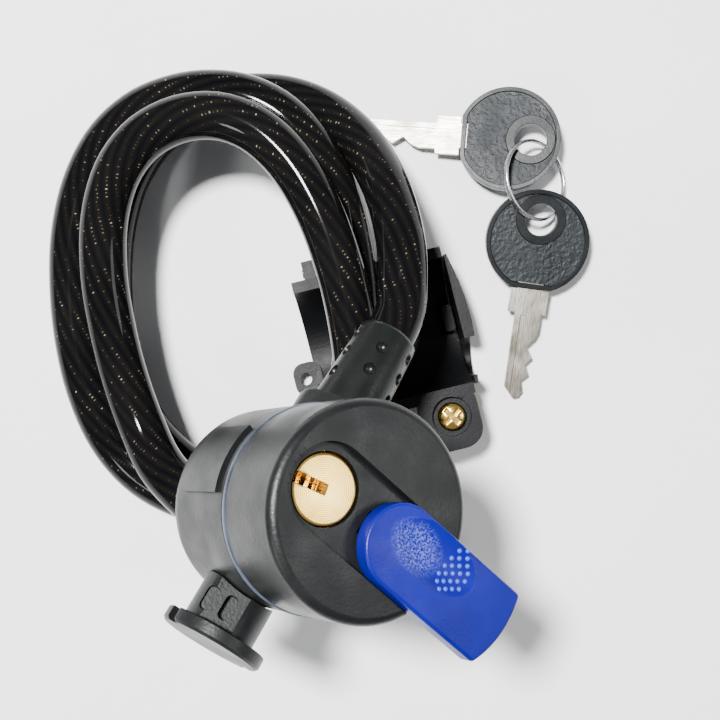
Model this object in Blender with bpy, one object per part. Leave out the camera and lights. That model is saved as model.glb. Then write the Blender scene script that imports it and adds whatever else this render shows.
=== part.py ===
"""Coiled bicycle cable lock with its frame bracket, key ring and two keys, lying on a table.

All sizes below are in millimetres and are turned into metres when a mesh is made.
World axes: +Z up from the table; the origin is under the middle of the bracket's saddle.
"""
import math

import bmesh
import bpy
from mathutils import Matrix, Vector

MM = 0.001
GAP = 0.3                       # clearance kept between neighbouring pieces

# ---- lock barrel: its own frame has +Z out of the key face and the origin in that face ----
BARREL_R = 18.5
BARREL_LEN = 46.3
WALL = 2.0
SEAM = 17.6                     # depth of the joint between the two shells
RING_THICK = 0.6
REAR_ROUND = 7.4
FACE_CENTRE = (-0.91, -28.7, 81.0)
BARREL_AXIS = (0.4935, 0.0896, 0.8651)
FACE_WALL = 6.0

# key cylinder, placed in the face
PLUG_X, PLUG_Y = -7.6, 3.5
PLUG_R = 5.9
PLUG_FACE = -2.3
PLUG_END = -23.6
HOUSING_R = 7.6
KEYWAY_ANGLE = 158.0

# sliding dust cover
SLIDE_ANGLE = -37.5
CHANNEL_OFFSET = -1.7           # sideways offset of the channel from the barrel axis
CHANNEL_HALF = 7.6
CHANNEL_DEPTH = 2.0
COVER_HALF = 7.25
COVER_INNER = 7.4               # centre of the cover's round inner end
COVER_END_CENTRE = 13.4         # centre of the arc that ends the cover
COVER_TOP = 1.9

# cross axis: cable sleeve on one side of the barrel, mounting stud on the other
CROSS_DEPTH = 30.5
CROSS_ANGLE = 33.0
BOSS_R, BOSS_END = 9.2, 20.8
SLEEVE_START, SLEEVE_END = 12.3, 39.3
SLEEVE_R0, SLEEVE_R1 = 6.9, 5.9
STUD_R, FLANGE_R = 6.75, 9.6
FLANGE_START, FLANGE_END = 25.9, 28.4
STUD_FLAT_ANGLE = -23.6

# socket for the free end, and the bolt that locks it
SOCKET_X, SOCKET_Y = 4.6, -5.6
SOCKET_R, LINER_R = 4.0, 5.2
CAM_PIN_RADIUS = 2.97

# cable
CABLE_D = 10.0
POINT_STEP = 9.2                # distance between the points of the cable's tube

# bracket
BRACKET_ANGLE = 14.0
SADDLE_R, SADDLE_WALL = 16.5, 2.4
SADDLE_AXIS_Z, SADDLE_TOP = 17.3, 15.5
SADDLE_X0, SADDLE_X1 = -14.5, 18.8
SCREW_X, SCREW_Y = 12.5, -20.2

# keys: each key's frame has its origin in the ring hole and +X along the blade
KEY_Z = 6.5
KEY_TILT = 7.3
KEY_A = (35.4, 45.1, 175.0)     # ring hole x, y and direction of the blade
KEY_B = (37.6, 27.3, -97.5)
BOW_R, BOW_CENTRE, BOW_FLAT = 11.6, 4.9, 15.6
BOW_HALF = 1.45
HOLE_R = 3.6
BLADE_HALF = 0.75
RING_TILT, RING_WIRE = 36.0, 0.7


# ---------------------------------------------------------------- helpers

def rotation_frame(origin, x_axis, z_axis):
    """Matrix of a frame with this origin (mm), +Z along z_axis and +X nearest x_axis."""
    z = Vector(z_axis).normalized()
    x = Vector(x_axis)
    x = (x - z * x.dot(z)).normalized()
    y = z.cross(x)
    rot = Matrix((x, y, z)).transposed().to_4x4()
    return Matrix.Translation(Vector(origin) * MM) @ rot


def material(name, color, roughness, metallic=0.0):
    mat = bpy.data.materials.new(name)
    mat.use_nodes = True
    shader = mat.node_tree.nodes["Principled BSDF"]
    shader.inputs["Base Color"].default_value = (*color, 1.0)
    shader.inputs["Roughness"].default_value = roughness
    shader.inputs["Metallic"].default_value = metallic
    mat.diffuse_color = (*color, 1.0)
    return mat


def build(name, points, faces, mat, parent=None, place=None):
    """One mesh object from points in mm; place is its frame in its parent."""
    mesh = bpy.data.meshes.new(name)
    mesh.from_pydata([tuple(c * MM for c in p) for p in points], [], faces)
    mesh.validate()
    outward(mesh)
    mesh.shade_smooth()
    mesh.set_sharp_from_angle(angle=math.radians(35))
    obj = bpy.data.objects.new(name, mesh)
    bpy.context.collection.objects.link(obj)
    if mat:
        mesh.materials.append(mat)
    if parent:
        obj.parent = parent
    obj.matrix_local = place if place else Matrix.Identity(4)
    return obj


def outward(mesh):
    """Turns every face of a closed mesh outwards."""
    work = bmesh.new()
    work.from_mesh(mesh)
    bmesh.ops.recalc_face_normals(work, faces=work.faces)
    work.to_mesh(mesh)
    work.free()


def empty(name, matrix):
    obj = bpy.data.objects.new(name, None)
    bpy.context.collection.objects.link(obj)
    obj.matrix_world = matrix
    return obj


def revolve(profile, segments):
    """Points and faces of a profile of (radius, height) turned about Z.

    A profile that starts and ends at radius 0 is solid; any other is taken as closed.
    """
    points, rows = [], []
    for radius, height in profile:
        if radius < 1e-6:
            rows.append([len(points)])
            points.append((0.0, 0.0, height))
            continue
        rows.append(list(range(len(points), len(points) + segments)))
        for k in range(segments):
            a = 2 * math.pi * k / segments
            points.append((radius * math.cos(a), radius * math.sin(a), height))
    faces = []
    count = len(rows)
    solid = len(rows[0]) == 1 and len(rows[-1]) == 1
    for i in range(count - 1 if solid else count):
        low, high = rows[i], rows[(i + 1) % count]
        for k in range(segments):
            n = (k + 1) % segments
            if len(low) == 1:
                faces.append((low[0], high[n], high[k]))
            elif len(high) == 1:
                faces.append((low[k], low[n], high[0]))
            else:
                faces.append((low[k], low[n], high[n], high[k]))
    return points, faces


def prism(outline, z0, z1):
    """Points and faces of an outline of (x, y) extruded from z0 to z1."""
    n = len(outline)
    points = [(x, y, z0) for x, y in outline] + [(x, y, z1) for x, y in outline]
    faces = [tuple(range(n))[::-1], tuple(range(n, 2 * n))]
    faces += [(k, (k + 1) % n, n + (k + 1) % n, n + k) for k in range(n)]
    return points, faces


def box(x0, x1, y0, y1, z0, z1):
    return prism([(x0, y0), (x1, y0), (x1, y1), (x0, y1)], z0, z1)


def arc(cx, cy, radius, start, end, count):
    """count + 1 points along an arc, angles in degrees."""
    step = (end - start) / count
    return [(cx + radius * math.cos(math.radians(start + step * k)),
             cy + radius * math.sin(math.radians(start + step * k))) for k in range(count + 1)]


def rounded_rectangle(x0, x1, y0, y1, radius, count=4):
    return (arc(x1 - radius, y1 - radius, radius, 0, 90, count)
            + arc(x0 + radius, y1 - radius, radius, 90, 180, count)
            + arc(x0 + radius, y0 + radius, radius, 180, 270, count)
            + arc(x1 - radius, y0 + radius, radius, 270, 360, count))


def sweep(path, radius, sides, closed=False):
    """Points and faces of a round wire along a path in mm."""
    path = [Vector(p) for p in path]
    n = len(path)
    points, faces = [], []
    side = None
    for k in range(n):
        before = path[k - 1] if (closed or k > 0) else path[k]
        after = path[(k + 1) % n] if (closed or k < n - 1) else path[k]
        along = (after - before).normalized()
        if side is None:
            side = along.orthogonal()
        side = (side - along * side.dot(along)).normalized()
        up = along.cross(side)
        for s in range(sides):
            a = 2 * math.pi * s / sides
            points.append(tuple(path[k] + (side * math.cos(a) + up * math.sin(a)) * radius))
    for k in range(n if closed else n - 1):
        for s in range(sides):
            a, b = k * sides + s, k * sides + (s + 1) % sides
            c, d = ((k + 1) % n) * sides + (s + 1) % sides, ((k + 1) % n) * sides + s
            faces.append((a, b, c, d))
    if not closed:
        faces.append(tuple(range(sides))[::-1])
        faces.append(tuple(range((n - 1) * sides, n * sides)))
    return points, faces


def boolean(obj, shape, operation, parent=None, place=None):
    """Cuts obj with a shape, or joins the shape to it; the shape stays as a hidden guide."""
    guide = build(obj.name + "_guide", shape[0], shape[1], None, parent or obj.parent, place)
    guide.hide_render = True
    guide.display_type = "WIRE"
    mod = obj.modifiers.new(operation.lower(), "BOOLEAN")
    mod.object = guide
    mod.operation = operation
    mod.solver = "EXACT"
    return guide


def cut(obj, shape, place=None, parent=None):
    return boolean(obj, shape, "DIFFERENCE", parent, place)


def join(obj, shape, place=None, parent=None):
    return boolean(obj, shape, "UNION", parent, place)


def cylinder(radius, z0, z1, segments=24):
    return revolve([(0, z0), (radius, z0), (radius, z1), (0, z1)], segments)


def tube_shape(outer, inner, z0, z1, segments=24):
    return revolve([(inner, z0), (outer, z0), (outer, z1), (inner, z1)], segments)


def shift(x, y, z=0.0):
    return Matrix.Translation(Vector((x, y, z)) * MM)


def turn_z(degrees):
    return Matrix.Rotation(math.radians(degrees), 4, "Z")


# ---------------------------------------------------------------- frames

# turns a shape's own +Z onto +X, and its X and Y onto Y and Z
ACROSS = Matrix(((0, 0, 1, 0), (1, 0, 0, 0), (0, 1, 0, 0), (0, 0, 0, 1)))
LOCK = rotation_frame(FACE_CENTRE, (1, 0, 0), BARREL_AXIS)
CROSS_DIRECTION = (math.sin(math.radians(CROSS_ANGLE)), math.cos(math.radians(CROSS_ANGLE)), 0)
CROSS = rotation_frame((0, 0, -CROSS_DEPTH), (0, 0, 1), CROSS_DIRECTION)
STUD = CROSS @ turn_z(STUD_FLAT_ANGLE) @ Matrix.Rotation(math.pi, 4, "X")
SLIDE = turn_z(SLIDE_ANGLE)
BOLT_ANGLE = math.degrees(math.atan2(SOCKET_Y - PLUG_Y, SOCKET_X - PLUG_X))
BOLT = shift(PLUG_X, PLUG_Y) @ turn_z(BOLT_ANGLE)
SOCKET_AWAY = math.hypot(SOCKET_X - PLUG_X, SOCKET_Y - PLUG_Y)
CASE_SCREWS = [(12.2, 10), (13.6, 103), (12.2, 266)]


# ---------------------------------------------------------------- lock shells

def front_cap(lock, mat):
    end = -SEAM + GAP
    inner = BARREL_R - WALL
    profile = [(0, 0), (BARREL_R - 1.8, 0), (BARREL_R - 0.6, -0.5), (BARREL_R, -1.8),
               (BARREL_R, end), (inner, end), (inner, -FACE_WALL), (0, -FACE_WALL)]
    cap = build("front_cap", *revolve(profile, 40), mat, lock)
    for radius, angle in CASE_SCREWS:
        post = turn_z(angle) @ shift(radius, 0)
        drilled = [(0, -9.0), (1.4, -9.0), (1.4, -SEAM + 1.0), (2.6, -SEAM + 1.0),
                   (2.6, -FACE_WALL + 0.5), (0, -FACE_WALL + 0.5)]
        join(cap, revolve(drilled, 12), post, lock)
    along = PLUG_X * math.cos(math.radians(SLIDE_ANGLE)) + PLUG_Y * math.sin(math.radians(SLIDE_ANGLE))
    channel = arc(along, CHANNEL_OFFSET, CHANNEL_HALF, 90, 270, 16)
    channel += [(25, CHANNEL_OFFSET - CHANNEL_HALF), (25, CHANNEL_OFFSET + CHANNEL_HALF)]
    cut(cap, prism(channel, -CHANNEL_DEPTH, 2), SLIDE, lock)
    mid = CHANNEL_OFFSET
    cut(cap, box(0.5, 25, mid - 2.2, mid + 2.2, -4.0, -1.0), SLIDE, lock)
    cut(cap, box(0.3, 26, mid - 3.6, mid + 3.6, -5.1, -3.3), SLIDE, lock)
    cut(cap, cylinder(PLUG_R + 0.3, -8, 1), shift(PLUG_X, PLUG_Y), lock)
    cut(cap, cylinder(HOUSING_R + 0.3, -8, -3.0), shift(PLUG_X, PLUG_Y), lock)
    return cap


def seam_ring(lock, mat):
    return build("seam_ring", *tube_shape(BARREL_R + 0.2, BARREL_R - 1.8,
                                          -SEAM - RING_THICK, -SEAM, 40), mat, lock)


def rear_shell(lock, mat):
    start = -SEAM - RING_THICK - GAP
    bend = -(BARREL_LEN - REAR_ROUND)
    corner = BARREL_R - REAR_ROUND
    outer = [(0, start), (BARREL_R, start)]
    outer += [(corner + REAR_ROUND * math.cos(math.radians(a)),
               bend - REAR_ROUND * math.sin(math.radians(a))) for a in range(0, 91, 15)]
    shell = build("rear_shell", *revolve(outer + [(0, -BARREL_LEN)], 40), mat, lock)
    join(shell, cylinder(BOSS_R, 8, BOSS_END, 32), CROSS, lock)
    pad = arc(0, 0, BARREL_R + 0.8, 131, 171, 8) + arc(0, 0, BARREL_R - 1.0, 171, 131, 8)
    join(shell, prism(pad, -35.3, -20.5), None, lock)
    cavity = [(0, start + 1), (BARREL_R - WALL, start + 1), (BARREL_R - WALL, bend),
              (corner + 3.8, bend - 3.8), (corner, -BARREL_LEN + WALL), (0, -BARREL_LEN + WALL)]
    cut(shell, revolve(cavity, 40), None, lock)
    cut(shell, cylinder(SLEEVE_R0 + 0.3, 9, BOSS_END + 2, 28), CROSS @ turn_z(4), lock)
    cut(shell, cylinder(1.7, 8, 24, 12), STUD, lock)
    cut(shell, cylinder(LINER_R + 0.3, -50, -40), shift(SOCKET_X, SOCKET_Y), lock)
    for radius, angle in CASE_SCREWS:
        place = turn_z(angle) @ shift(radius, 0)
        pocket = [(0, -50), (2.2, -50), (2.2, -44.8), (1.4, -44.8), (1.4, -30), (0, -30)]
        cut(shell, revolve(pocket, 12), place, lock)
    return shell


# ---------------------------------------------------------------- key cylinder and locking parts

def cylinder_housing(lock, mat):
    place = shift(PLUG_X, PLUG_Y)
    return build("cylinder_housing", *tube_shape(HOUSING_R, PLUG_R + 0.3, -23.9, -3.3, 28),
                 mat, lock, place)


def lock_plug(lock, mat):
    place = shift(PLUG_X, PLUG_Y) @ turn_z(KEYWAY_ANGLE)
    profile = [(0, PLUG_FACE), (PLUG_R - 0.4, PLUG_FACE), (PLUG_R, PLUG_FACE - 0.4),
               (PLUG_R, PLUG_END), (0, PLUG_END)]
    plug = build("lock_plug", *revolve(profile, 28), mat, lock, place)
    cut(plug, box(-0.4, 7, -0.95, 0.95, PLUG_END + 1, 0), place, lock)
    for depth in wafer_depths():
        cut(plug, box(-2.1, 2.1, -7, 7, depth - 0.8, depth + 0.8), place, lock)
    return plug


def wafer_depths():
    return [-7.0 - 3.6 * k for k in range(4)]


def wafer(lock, mat, number, depth):
    place = shift(PLUG_X, PLUG_Y) @ turn_z(KEYWAY_ANGLE)
    plate = rounded_rectangle(-1.8, 1.8, -4.9, 4.9, 0.6, 2)
    piece = build("wafer_%d" % number, *prism(plate, depth - 0.5, depth + 0.5), mat, lock, place)
    cut(piece, box(-0.9, 1.1, -1.3, 1.3, depth - 2, depth + 2), place, lock)
    return piece


def lock_cam(lock, mat):
    """Disc on the back of the plug, with the pin that drives the bolt."""
    place = BOLT @ turn_z(45)
    cam = build("lock_cam", *cylinder(4.8, -25.9, -23.9), mat, lock, place)
    join(cam, cylinder(1.0, -29.6, -25.0, 12), place @ shift(CAM_PIN_RADIUS, 0), lock)
    return cam


def locking_bolt(lock, mat):
    """Flat bolt: a slotted plate round the cam pin and a nose that enters the socket."""
    outline = [(-1.5, -2.4), (6.0, -2.4), (6.0, -2.0), (13.3, -2.0), (13.3, 2.0), (6.0, 2.0),
               (6.0, 5.0), (3.5, 5.0), (3.5, 0.7), (0.7, 0.7), (0.7, 5.0), (-1.5, 5.0)]
    return build("locking_bolt", *prism(outline, -29.0, -26.3), mat, lock, BOLT)


def bolt_guide(lock, mat):
    outline = [(-3.3, -30.6), (3.3, -30.6), (3.3, -26.4), (2.3, -26.4), (2.3, -29.3),
               (-2.3, -29.3), (-2.3, -26.4), (-3.3, -26.4)]
    return build("bolt_guide", *prism(outline, 6.4, 9.6), mat, lock, BOLT @ ACROSS)


def bolt_spring(lock, mat):
    turns, start, length, radius = 5, -1.9, 5.2, 1.3
    steps = turns * 8
    path = [(start - length * k / steps, radius * math.cos(2 * math.pi * k / 8),
             -27.7 + radius * math.sin(2 * math.pi * k / 8)) for k in range(steps + 1)]
    return build("bolt_spring", *sweep(path, 0.22, 6), mat, lock, BOLT)


def socket_liner(lock, mat):
    place = shift(SOCKET_X, SOCKET_Y)
    liner = build("socket_liner", *tube_shape(LINER_R, SOCKET_R, -BARREL_LEN + 0.2, -25.0, 28),
                  mat, lock, place)
    cut(liner, box(SOCKET_AWAY - 7, SOCKET_AWAY - 1, -2.3, 2.3, -29.3, -26.0), BOLT, lock)
    return liner


def case_screw(lock, mat, number, angle, radius):
    place = turn_z(angle) @ shift(radius, 0)
    profile = [(0, -46.2), (1.9, -46.2), (1.9, -45.1), (1.1, -45.1), (1.1, -12.0), (0, -12.0)]
    return build("case_screw_%d" % number, *revolve(profile, 10), mat, lock, place)


# ---------------------------------------------------------------- dust cover

def dust_cover(lock, mat):
    mid = CHANNEL_OFFSET
    outline = arc(COVER_INNER, mid, COVER_HALF, 90, 270, 16)
    reach = BARREL_R
    for k in range(9):
        side = -COVER_HALF + 2 * COVER_HALF * k / 8
        outline.append((COVER_END_CENTRE + math.sqrt(reach ** 2 - (mid + side) ** 2), mid + side))
    cover = build("dust_cover", *prism(outline, -CHANNEL_DEPTH + GAP, COVER_TOP), mat, lock, SLIDE)
    bevel = cover.modifiers.new("edge", "BEVEL")
    bevel.width = 0.7 * MM
    bevel.segments = 2
    bevel.limit_method = "ANGLE"
    bevel.angle_limit = math.radians(60)
    join(cover, box(16.2, 17.7, mid - 1.9, mid + 1.9, -4.2, -0.8), SLIDE, lock)
    join(cover, box(16.2, 17.7, mid - 3.3, mid + 3.3, -4.8, -3.6), SLIDE, lock)
    scoop = Matrix.Translation(Vector((13.6, mid + 2.4, COVER_TOP + 2.1)) * MM)
    stretch = Matrix.Diagonal((8.4 / 4, 4.9 / 4, 1.0, 1.0))
    cut(cover, ball(4.0, 20, 10), SLIDE @ scoop @ stretch, lock)
    return cover


def ball(radius, segments, rings):
    profile = [(radius * math.sin(math.pi * k / rings), -radius * math.cos(math.pi * k / rings))
               for k in range(rings + 1)]
    profile[0] = (0, -radius)
    profile[-1] = (0, radius)
    return revolve(profile, segments)


# ---------------------------------------------------------------- sleeve, ferrule and stud

def cable_sleeve(lock, mat):
    bore = CABLE_D / 2 + GAP
    profile = [(bore, SLEEVE_START), (SLEEVE_R0, SLEEVE_START), (SLEEVE_R0, BOSS_END),
               (SLEEVE_R1, SLEEVE_END - 0.5), (SLEEVE_R1 - 0.4, SLEEVE_END), (bore, SLEEVE_END)]
    return build("cable_sleeve", *revolve(profile, 28), mat, lock, CROSS)


def cable_ferrule(lock, mat):
    profile = [(0, 8.0), (6.6, 8.0), (6.6, 12.0), (4.9, 12.0), (4.9, 21.5), (0, 21.5)]
    return build("cable_ferrule", *revolve(profile, 24), mat, lock, CROSS)


def mount_stud(lock, mat):
    """Flanged stud that the frame bracket holds; one side of its neck is flattened."""
    profile = [(0, 15.0), (STUD_R, 15.0), (STUD_R, FLANGE_START), (FLANGE_R, FLANGE_START),
               (FLANGE_R, FLANGE_END - 0.4), (FLANGE_R - 0.4, FLANGE_END), (0, FLANGE_END)]
    stud = build("mount_stud", *revolve(profile, 32), mat, lock, STUD)
    cut(stud, revolve([(0, -60), (BARREL_R + 0.3, -60), (BARREL_R + 0.3, 0), (0, 0)], 40), None, lock)
    cut(stud, box(5.6, 9, -2.3, 9, 10, FLANGE_START - 0.01), STUD, lock)
    cut(stud, cylinder(1.5, 10, 24.5, 12), STUD, lock)
    return stud


def stud_screw(lock, mat):
    profile = [(0, 13.6), (2.6, 13.6), (2.6, 15.4), (1.2, 15.9), (1.2, 24.2), (0, 24.2)]
    return build("stud_screw", *revolve(profile, 12), mat, lock, STUD)


# ---------------------------------------------------------------- cable

# each turn is an ellipse: centre x, y, half widths and lean in degrees
TURNS = [(-26.8, 11.0, 33.4, 44.6, 3.9), (-34.8, 9.0, 31.6, 44.6, 5.5),
         (-30.2, 3.6, 25.6, 43.9, 13.4)]
SQUARENESS = 0.022
CROSSOVER = (232.0, 338.0)      # where one turn's ellipse passes into the next one's
# height of the cable's middle at angles counted on from the sleeve, in degrees
HEIGHTS = [(8, 36.0), (20, 30.4), (30, 25.0), (40, 19.2), (50, 14.7), (60, 12.0), (75, 10.0),
           (97, 7.4), (120, 5.6), (145, 5.2), (240, 5.2), (258, 6.0), (270, 7.2), (280, 9.2),
           (290, 12.3), (300, 16.0), (308, 19.2), (316, 21.0), (390, 21.0), (420, 22.0),
           (440, 20.8), (470, 18.0), (500, 14.8), (530, 13.7), (560, 13.6), (592, 14.0),
           (618, 16.5), (630, 17.9), (640, 20.6), (650, 24.2), (660, 27.4), (668, 29.6),
           (676, 31.3), (750, 31.4), (780, 30.5), (810, 28.8), (840, 26.4), (870, 23.8),
           (900, 21.4), (923, 22.0)]
# bend from the sleeve into the first turn
LEAD_OUT = [(4.85, 5.0, 38.9), (5.4, 9.2, 37.9)]
FREE_END = [(-44.8, -26.6, 24.0), (-38.0, -33.2, 26.6), (-30.8, -38.8, 27.2), (-25.0, -44.4, 25.2)]
FREE_AXIS = (0.86, -0.32, -0.40)


def height_at(angle):
    for (a0, z0), (a1, z1) in zip(HEIGHTS, HEIGHTS[1:]):
        if angle <= a1:
            t = (angle - a0) / (a1 - a0)
            return z0 + (z1 - z0) * t
    return HEIGHTS[-1][1]


def coil_point(angle):
    """Middle of the cable at an angle in degrees, counted on through the turns."""
    turn = int(angle // 360)
    within = angle - 360 * turn
    low, high = CROSSOVER
    share = min(max((within - low) / (high - low), 0.0), 1.0)
    share = share * share * (3 - 2 * share)
    here = TURNS[min(turn, 2)]
    following = TURNS[min(turn + 1, 2)]
    cx, cy, a, b, lean = [p + (q - p) * share for p, q in zip(here, following)]
    t = math.radians(angle)
    swell = 1 - SQUARENESS * math.cos(4 * t)
    x, y = a * swell * math.cos(t), b * swell * math.sin(t)
    c, s = math.cos(math.radians(lean)), math.sin(math.radians(lean))
    return Vector((cx + x * c - y * s, cy + x * s + y * c, height_at(angle)))


def cable_points():
    """Points of the route from inside the sleeve to the free end, in mm."""
    start = (LOCK @ CROSS).translation / MM
    along = (LOCK @ CROSS).to_3x3() @ Vector((0, 0, 1))
    points = [start + along * d for d in (21.8, 30.0, 38.0, 40.3)]
    points += [Vector(p) for p in LEAD_OUT]
    points += [coil_point(8 + 15 * k) for k in range(62)]
    points += [Vector(p) for p in FREE_END]
    tail = Vector(FREE_AXIS).normalized()
    points += [Vector(FREE_END[-1]) + tail * d for d in (4.0, 8.0, 12.0)]
    return points


def smooth(points, step):
    """Evenly spaced points on a Catmull-Rom curve through the given points."""
    fine = []
    for k in range(len(points) - 1):
        p0 = points[max(k - 1, 0)]
        p1, p2 = points[k], points[k + 1]
        p3 = points[min(k + 2, len(points) - 1)]
        for i in range(12):
            t = i / 12
            fine.append(0.5 * ((2 * p1) + (p2 - p0) * t + (2 * p0 - 5 * p1 + 4 * p2 - p3) * t ** 2
                               + (3 * p1 - p0 - 3 * p2 + p3) * t ** 3))
    fine.append(points[-1])
    lengths = [0.0]
    for a, b in zip(fine, fine[1:]):
        lengths.append(lengths[-1] + (b - a).length)
    count = round(lengths[-1] / step)
    even, k = [], 0
    for i in range(count + 1):
        want = lengths[-1] * i / count
        while k < len(fine) - 2 and lengths[k + 1] < want:
            k += 1
        t = (want - lengths[k]) / (lengths[k + 1] - lengths[k])
        even.append(fine[k].lerp(fine[k + 1], t))
    return even


def cable(mat):
    path = smooth(cable_points(), POINT_STEP)
    curve = bpy.data.curves.new("cable", "CURVE")
    curve.dimensions = "3D"
    curve.bevel_depth = CABLE_D / 2 * MM
    curve.bevel_resolution = 2
    curve.use_fill_caps = True
    spline = curve.splines.new("POLY")
    spline.points.add(len(path) - 1)
    for point, place in zip(spline.points, path):
        point.co = (*(place * MM), 1.0)
    curve.materials.append(mat)
    obj = bpy.data.objects.new("cable", curve)
    bpy.context.collection.objects.link(obj)
    return obj


def free_end_frame():
    """Frame at the cable's free end, +Z along the locking pin."""
    end = cable_points()[-1]
    return rotation_frame(end, (0, 0, 1), FREE_AXIS)


def free_sleeve(mat, place):
    bore = CABLE_D / 2 + GAP
    profile = [(bore, -7.0), (6.0, -7.0), (6.6, 2.0), (6.6, 12.0), (2.4, 12.0), (2.4, 3.0),
               (bore, 3.0)]
    return build("free_end_sleeve", *revolve(profile, 24), mat, None, place)


def locking_pin(mat, place):
    """Steel pin that the lock's socket takes, with the groove for the bolt."""
    r = SOCKET_R - 0.2
    profile = [(0, 3.4), (2.1, 3.4), (2.1, 12.3), (r, 12.3), (r, 17.0), (2.4, 17.4), (2.4, 20.6),
               (r, 21.0), (r, 23.0), (2.2, 25.0), (0, 25.0)]
    return build("locking_pin", *revolve(profile, 20), mat, None, place)


# ---------------------------------------------------------------- bracket

def bracket_saddle(bracket, mat):
    """Half ring that sits on the bicycle's tube, with the screw ear and the hinge lug."""
    half = math.degrees(math.asin((SADDLE_AXIS_Z - SADDLE_TOP) / SADDLE_R))
    inner = SADDLE_R - SADDLE_WALL
    outer_foot = math.degrees(math.acos(7.0 / SADDLE_R))
    outline = arc(0, SADDLE_AXIS_Z, SADDLE_R, 180 + half, 180 + outer_foot, 8)
    outline += [(-7.0, 0.0), (7.0, 0.0)]
    outline += arc(0, SADDLE_AXIS_Z, SADDLE_R, 360 - outer_foot, 360 - half, 8)
    low = math.degrees(math.asin((SADDLE_AXIS_Z - SADDLE_TOP) / inner))
    outline += arc(0, SADDLE_AXIS_Z, inner, 360 - low, 180 + low, 20)
    saddle = build("bracket_saddle", *prism(outline, SADDLE_X0, SADDLE_X1), mat, bracket, ACROSS)
    ear = rounded_rectangle(5.6, 18.6, -27.6, -13.6, 4.5)
    join(saddle, prism(ear, 8.4, SADDLE_TOP), None, bracket)
    cut(saddle, prism(arc(0, SADDLE_AXIS_Z, inner, 0, 345, 23), -30, 30), ACROSS, bracket)
    join(saddle, box(-11.5, -7.5, 15.0, 20.6, 5.0, 12.0), None, bracket)
    join(saddle, box(-1.5, 2.5, 15.0, 20.6, 5.0, 12.0), None, bracket)
    join(saddle, prism(rounded_rectangle(-19.5, -13.0, -8.5, -1.0, 2.5), 1.8, 4.8), None, bracket)
    cut(saddle, cylinder(1.4, 0, 8, 12), shift(-16.9, -4.7), bracket)
    cut(saddle, cylinder(1.3, -12.5, 3.5, 12), pin_frame(), bracket)
    cut(saddle, cylinder(2.0, 0, 20, 16), shift(SCREW_X, SCREW_Y), bracket)
    cut(saddle, cylinder(4.3, SADDLE_TOP - 1.8, 20, 24), shift(SCREW_X, SCREW_Y), bracket)
    cut(saddle, box(14.5, 20, -2.6, 4.4, 1.2, 7.0), None, bracket)
    return saddle


def pin_frame():
    """Frame of the strap's hinge pin, +Z along the tube's axis."""
    return rotation_frame((0, 18.2, 8.6), (0, 1, 0), (1, 0, 0))


def strap_path():
    """Middle line of the open strap across the tube, as (y, z)."""
    return [(18.2, 5.6), (20.5, 3.2), (24.0, 1.9), (29.0, 1.7), (33.5, 2.6), (37.0, 5.2),
            (39.0, 9.0), (39.4, 12.6)]


def bracket_strap(bracket, mat):
    """Flexible strap, open and lying beside the saddle, with its pin eye and its nut seat."""
    line = [Vector((y, z)) for y, z in strap_path()]
    left, right = [], []
    for k, p in enumerate(line):
        along = line[min(k + 1, len(line) - 1)] - line[max(k - 1, 0)]
        side = Vector((-along.y, along.x)).normalized() * 0.8
        left.append(tuple(p + side))
        right.append(tuple(p - side))
    strap = build("bracket_strap", *prism(left + right[::-1], -7.2, -1.8), mat, bracket, ACROSS)
    join(strap, cylinder(2.9, -7.2, -1.8, 16), pin_frame(), bracket)
    cut(strap, cylinder(1.3, -10, 3, 12), pin_frame(), bracket)
    return strap


def hinge_pin(bracket, mat):
    return build("strap_hinge_pin", *cylinder(1.0, -11.8, 2.8, 12), mat, bracket, pin_frame())


def clamp_screw(bracket, mat):
    place = shift(SCREW_X, SCREW_Y)
    floor = SADDLE_TOP - 1.8 + GAP
    profile = [(0, 2.0), (1.7, 2.0), (1.7, floor), (3.1, floor), (3.1, floor + 1.2),
               (2.4, floor + 2.0), (0, floor + 2.2)]
    screw = build("clamp_screw", *revolve(profile, 20), mat, bracket, place)
    cut(screw, box(-2.0, 2.0, -0.45, 0.45, floor + 0.9, 20), place @ turn_z(-58), bracket)
    cut(screw, box(-0.45, 0.45, -2.0, 2.0, floor + 0.9, 20), place @ turn_z(-58), bracket)
    return screw


def clamp_nut(bracket, mat):
    place = shift(SCREW_X, SCREW_Y)
    hexagon = arc(0, 0, 3.9, 0, 300, 5)
    nut = build("clamp_nut", *prism(hexagon, 5.3, 8.1), mat, bracket, place)
    cut(nut, cylinder(2.0, 0, 12, 16), place, bracket)
    return nut


def mount_plate(bracket, mat):
    """Bowed end plate that takes the lock's flanged stud."""
    inner = SADDLE_X1 + 0.5
    outline = [(inner, -14.5), (inner + 0.6, -14.5)]
    outline += [(inner + 0.6 + 1.9 * math.sin(math.pi * k / 10), -14.5 + 29.0 * k / 10)
                for k in range(1, 11)]
    outline += [(inner, 14.5)]
    plate = build("mount_plate", *prism(outline, 0.6, SADDLE_TOP - 0.8), mat, bracket)
    slot = arc(0, 5.0, 4.2, 180, 360, 8) + [(4.2, 30), (-4.2, 30)]
    cut(plate, prism(slot, 10, 30), shift(0, -8.5) @ ACROSS, bracket)
    return plate


def release_tab(bracket, mat):
    outline = rounded_rectangle(16.4, 19.0, -2.2, 4.0, 0.8, 2)
    return build("release_tab", *prism(outline, 1.5, 6.2), mat, bracket)


# ---------------------------------------------------------------- keys

def key_frame(spec):
    x, y, angle = spec
    flat = rotation_frame((x, y, KEY_Z), (math.cos(math.radians(angle)), math.sin(math.radians(angle)), 0),
                          (0, 0, 1))
    return flat @ Matrix.Rotation(math.radians(KEY_TILT), 4, "Y")


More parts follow.
